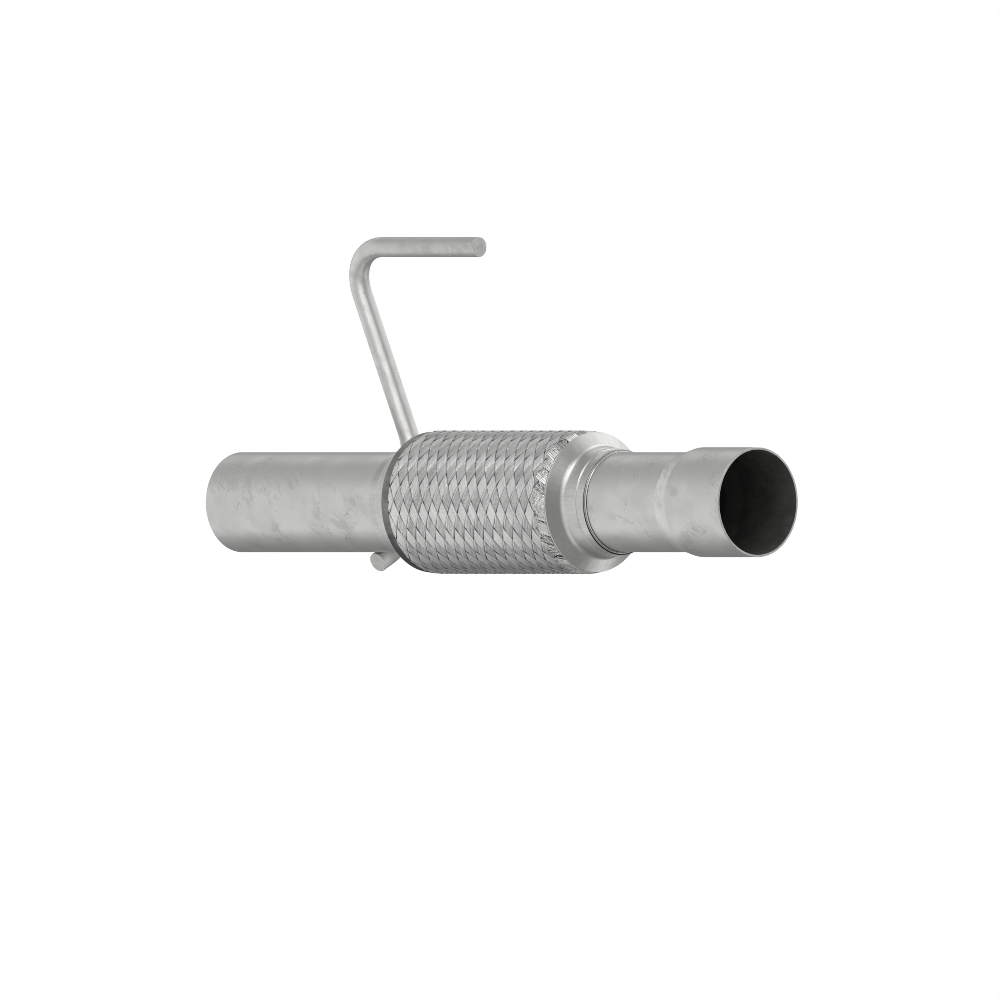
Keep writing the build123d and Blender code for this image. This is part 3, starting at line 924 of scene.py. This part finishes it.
def hangerRod():
    # One circle carried along the bent line. Its side axis stays square to the line by passing
    # on from each step to the next, and both ends close to a point over a small chamfer.
    line = rodLine()
    travel = travelled(line)
    cut = rod["chamfer"]
    inner = travel[(travel > 2 * cut) & (travel < travel[-1] - 2 * cut)]
    atEnds = cut * np.array(rod["endTravel"])
    lost = cut / rod["radius"] * np.r_[rod["radius"] / cut, rod["endLost"]]
    where = np.r_[atEnds, inner, travel[-1] - atEnds[::-1]]
    radius = rod["radius"] * (1 - np.r_[lost, 0 * inner, lost[::-1]])[:, None, None]
    slopes = np.gradient(line, travel, axis=0)
    centre, ahead = [np.stack([np.interp(where, travel, values[:, k]) for k in range(3)], -1)
                     for values in (line, slopes)]
    ahead /= np.linalg.norm(ahead, axis=1, keepdims=True)
    sideAxis = np.empty_like(centre)
    current = np.array([0.0, 1.0, 0.0])
    for k, direction in enumerate(ahead):
        current = current - direction * (current @ direction)
        current /= np.linalg.norm(current)
        sideAxis[k] = current
    upAxis = np.cross(ahead, sideAxis)
    turn = fullTurn(rod["columns"])
    circle = sideAxis[:, None] * np.cos(turn)[:, None] + upAxis[:, None] * np.sin(turn)[:, None]
    uv = np.stack(np.broadcast_arrays(where[:, None], np.sin(turn) * rod["mapWidth"]), -1) * metresPerMm
    left = travel[-1] - where
    # the foot's tone holds heat tint and painted shadow beside the pipe
    dullAndShade = rod["footHeatAndShade"] + rod["weldHeatAndShade"] * smoothStep(left, *rod["weldFrom"])
    dullAndShade = rod["armDull"] * smoothStep(where, *rod["armTo"]) + np.where(left < rod["footReach"], dullAndShade, 0)
    rows = len(where)
    faces = gridFaces(rows, rod["columns"])[:, ::-1]
    piece = makePiece("hangerRod", centre[:, None] + radius * circle, faces, "rod_steel", "hanger_rod",
                      [rodSteel, sawnSteel], uv=uv, tone=np.repeat(0.5 + dullAndShade, rod["columns"]))
    row = np.arange(rows - 1)
    paintRows(piece, (row < rod["endRows"]) | (row >= rows - 1 - rod["endRows"]))
    lightRod(piece)


hangerRod()
print("hanger rod bent")

# Stepped rings in the necks: the wide end takes the pipe and the narrow end the liner
backing = {"wall": 0.4, "clearance": 0.05, "grip": 10.0, "edge": 0.08, "columns": 128}
linerStart, linerEnd, linerRadius = span("interlock_liner")


def backingRing(name, node, mouth, inner):
    # mouth is the open end's x and inner the other end's
    inward = np.sign(inner - mouth)
    step = inner - inward * backing["grip"]
    lip = step - inward * backing["wall"]
    wideBore, narrowBore = pipeRadius + backing["clearance"], linerRadius + backing["clearance"]
    wide, narrow = wideBore + backing["wall"], narrowBore + backing["wall"]
    corners = [(inner, narrow), (lip, narrow), (lip, wide), (mouth, wide),
               (mouth, wideBore), (step, wideBore), (step, narrowBore), (inner, narrowBore)]
    if inward > 0:
        corners = corners[::-1]
    lathe(name, corners, "inner_steel", node, [capSteel], columns=backing["columns"],
          edge=backing["edge"])


# Bellows: folds with straight flanks between two plain cuffs. Crest and root are where the
# flanks would meet if the folds weren't rounded.
folds = {"count": 14, "crest": 33.4, "root": 26.0, "wall": 0.3, "cuffBore": 25.5, "cuff": 21.0,
         "fillet": 1.0, "lip": 0.22, "edge": 0.05, "arcStep": 25.0, "columns": 96}


def bellows():
    # The outer and the inner line have their fillets about the same centres. The inner line lies
    # lower by the wall's thickness over the cosine of the flanks' slope.
    start, end, _ = span("bellows")
    first, last = start + folds["cuff"], end - folds["cuff"]
    x = np.linspace(first, last, 2 * folds["count"] + 1)[1:-1]
    crest = np.arange(len(x)) % 2 == 0
    corner = np.where(crest, folds["crest"], folds["root"])
    flank = np.hypot(x[1] - x[0], folds["crest"] - folds["root"])
    drop = folds["wall"] * flank / (x[1] - x[0])
    wide, tight = folds["fillet"] + folds["wall"], folds["fillet"]
    outer = np.stack([x, corner, np.where(crest, wide, tight)], -1)
    inner = np.stack([x, corner - drop, np.where(crest, tight, wide)], -1)
    inside, outside = folds["cuffBore"], folds["cuffBore"] + folds["wall"]
    corners = [(start, outside, folds["lip"]), (first, outside), *outer, (last, outside),
               (end, outside, folds["lip"]),
               (end, inside), (last, inside), *inner[::-1], (first, inside), (start, inside)]
    lathe("foldedBellows", corners, "inner_steel", "bellows", [bellowsSteel], folds["columns"],
          folds["edge"], arcStep=folds["arcStep"])


# Liner: a strip wound as a screw, each turn hooked into the next
liner = {"pitch": 9.4, "wall": 1.4, "step": 0.45, "boreStep": 0.6, "lapRise": (0.0, 0.08),
         "lapFall": (0.62, 0.70), "rowsPerTurn": 13, "columns": 96}


def woundLiner():
    # The radius depends only on how far a point lies along the strip's own width, which moves on
    # by one pitch in each turn: high over the lap, low between laps.
    rows = int((linerEnd - linerStart) / liner["pitch"] * liner["rowsPerTurn"])
    x = np.linspace(linerStart, linerEnd, rows)[:, None]
    turn = fullTurn(liner["columns"])[None, :]
    place = (x / liner["pitch"] - turn / (2 * np.pi)) % 1.0
    lap = smoothStep(place, *liner["lapRise"]) - smoothStep(place, *liner["lapFall"])
    low = liner["step"] * (1 - lap)
    outside = linerRadius - low
    bore = linerRadius - liner["wall"] + low * liner["boreStep"]
    points = roundAxis(np.concatenate([x, x[::-1]]), np.concatenate([outside, bore[::-1]]), turn)
    faces = gridFaces(2 * rows, liner["columns"], closeRows=True)
    makePiece("woundLiner", points, faces, "inner_steel", "interlock_liner", [shadedLiner])


# Fine welds where the necks end on the pipes
neckBead = {"columns": 720, "ripples": 150, "ripple": 0.05, "height": 0.42, "section": 9,
            "slope": 0.45, "steepness": 10, "darkFrom": 6, "shadeBelow": (-0.75, 0.0)}


def neckWeld(name, node, toe, root):
    # A bead on the pipe between toe and root, whose size pulses round the pipe. Over a share s
    # of its reach it stands height x (1 - slope x s) x sqrt(1 - s^10): a sloping top and a steep
    # toe, which is painted dark as shade in the crease, more so towards the bottom.
    turn = fullTurn(neckBead["columns"])[None, :]
    pulse = 1 + neckBead["ripple"] * (np.abs(np.sin(turn * neckBead["ripples"] / 2)) * 2 - 1)
    s = np.sin(np.linspace(0, np.pi / 2, neckBead["section"]))[:, None]
    seat = pipeRadius + backing["clearance"]
    x = np.concatenate([root + (toe - root) * pulse * s, root + 0 * turn])
    steep = np.sqrt(1 - s ** neckBead["steepness"])
    high = neckBead["height"] * pulse * (1 - neckBead["slope"] * s) * steep
    points = roundAxis(x, np.concatenate([seat + high, seat + 0 * turn]), turn)
    faces = gridFaces(len(points), neckBead["columns"], closeRows=True)
    if toe < root:
        faces = faces[:, ::-1]
    piece = makePiece(name, points, faces, "weld_metal", node, [neckWeldMetal, creaseShade])
    shadeLower(piece, *neckBead["shadeBelow"])
    paintRows(piece, np.arange(len(points)) >= neckBead["darkFrom"])


# Fillet welds of the hanger, one each side of the rod
hangerBead = {"rodGap": 5.05, "lineRadius": 30.05, "seat": 25.05, "root": 1.25, "rise": 4.3,
              "toe": 6.7, "bulge": 0.75, "bulgePower": 0.8, "outward": (0.85, 0.53),
              "from": -51.5, "to": 7.5, "rows": 150, "ripplePitch": 3.7, "ripple": 0.22,
              "rippleShape": 0.7, "crescent": 0.9, "waver": 0.25, "waverLength": 7,
              "endRun": 7.0, "endStart": 0.02, "face": 17, "rodSide": 6}


def hangerWeld(name, node, side):
    # The section runs up the rod, over the bulged face and back to the root. Crescent ripples
    # are drawn on the face: their phase lags towards its edges. The ends round off.
    bead = hangerBead
    topX = np.sqrt(bead["rodGap"] ** 2 - (bead["lineRadius"] - bead["seat"] - bead["rise"]) ** 2)
    climb = np.linspace(bead["root"], topX, bead["rodSide"])
    onRod = np.stack([climb, bead["lineRadius"] - np.sqrt(bead["rodGap"] ** 2 - climb**2)], -1)
    s = np.linspace(0, 1, bead["face"])
    top, toe = onRod[-1], np.array([bead["toe"], bead["seat"]])
    out = np.array(bead["outward"])
    swell = bead["bulge"] * np.sin(np.pi * s) ** bead["bulgePower"]
    face = top + (toe - top) * s[:, None] + out * swell[:, None]
    section = np.concatenate([onRod[:-1], face])
    plain = np.zeros(bead["rodSide"] - 1)
    onFace = np.r_[plain, np.sin(np.pi * s)]
    lag = np.r_[plain, bead["crescent"] * (1 - (2 * s - 1) ** 2)]
    turn = np.linspace(bead["from"], bead["to"], bead["rows"])[:, None]
    phase = turn / bead["ripplePitch"] + lag + bead["waver"] * np.sin(turn / bead["waverLength"])
    wave = (phase % 1.0) ** bead["rippleShape"] - 0.5
    run = np.minimum(turn - bead["from"], bead["to"] - turn) / bead["endRun"] + bead["endStart"]
    size = np.sqrt(1 - (1 - np.clip(run, 0, 1)) ** 2)
    root = np.array([bead["root"], bead["seat"]])
    ripple = bead["ripple"] * wave * onFace * size
    shape = root + (section - root) * size[..., None] + out * ripple[..., None]
    radius = np.maximum(shape[..., 1], bead["seat"])
    points = roundAxis(rodX + side * shape[..., 0], radius, np.radians(turn))
    faces = loopFaces(1, bead["rows"], len(section), flip=side > 0)
    makePiece(name, points, faces, "weld_metal", node, [weldMetal])


for which, side in (("inlet", -1), ("outlet", 1)):
    # the mouth of each ring and the toe of each neck weld face away from the coupling's middle
    mouth, inner = span(which + "_backing_ring")[:2][::-side]
    toe, root = span(which + "_neck_weld")[:2][::-side]
    backingRing(which + "BackingRing", which + "_backing_ring", mouth, inner)
    neckWeld(which + "NeckWeld", which + "_neck_weld", toe, root)
    hangerWeld(which + "HangerWeld", f"hanger_weld_{which}_side", side)
bellows()
woundLiner()
print("inside pieces and welds made")

# Floor: pale, well below the part, and kept out of the metal's reflections
floorPlan = {"height": -120.0, "size": 3000.0, "colour": (0.8, 0.8, 0.8, 1), "roughness": 0.9,
             "glow": 0.45}


def layFloor():
    half = floorPlan["size"] / 2
    corners = np.array([(-half, -half), (half, -half), (half, half), (-half, half)])
    corners = np.c_[corners, np.full(4, floorPlan["height"])] * metresPerMm
    mesh = bpy.data.meshes.new("floor")
    mesh.from_pydata(corners.tolist(), [], [(0, 1, 2, 3)])
    floor = newObject("floor", mesh)
    floor.visible_glossy = False
    floor.visible_diffuse = False
    material, shader = newMaterial("paleFloor")
    shader.inputs["Base Color"].default_value = floorPlan["colour"]
    shader.inputs["Roughness"].default_value = floorPlan["roughness"]
    shader.inputs["Emission Color"].default_value = (1, 1, 1, 1)
    shader.inputs["Emission Strength"].default_value = floorPlan["glow"]
    mesh.materials.append(material)


layFloor()
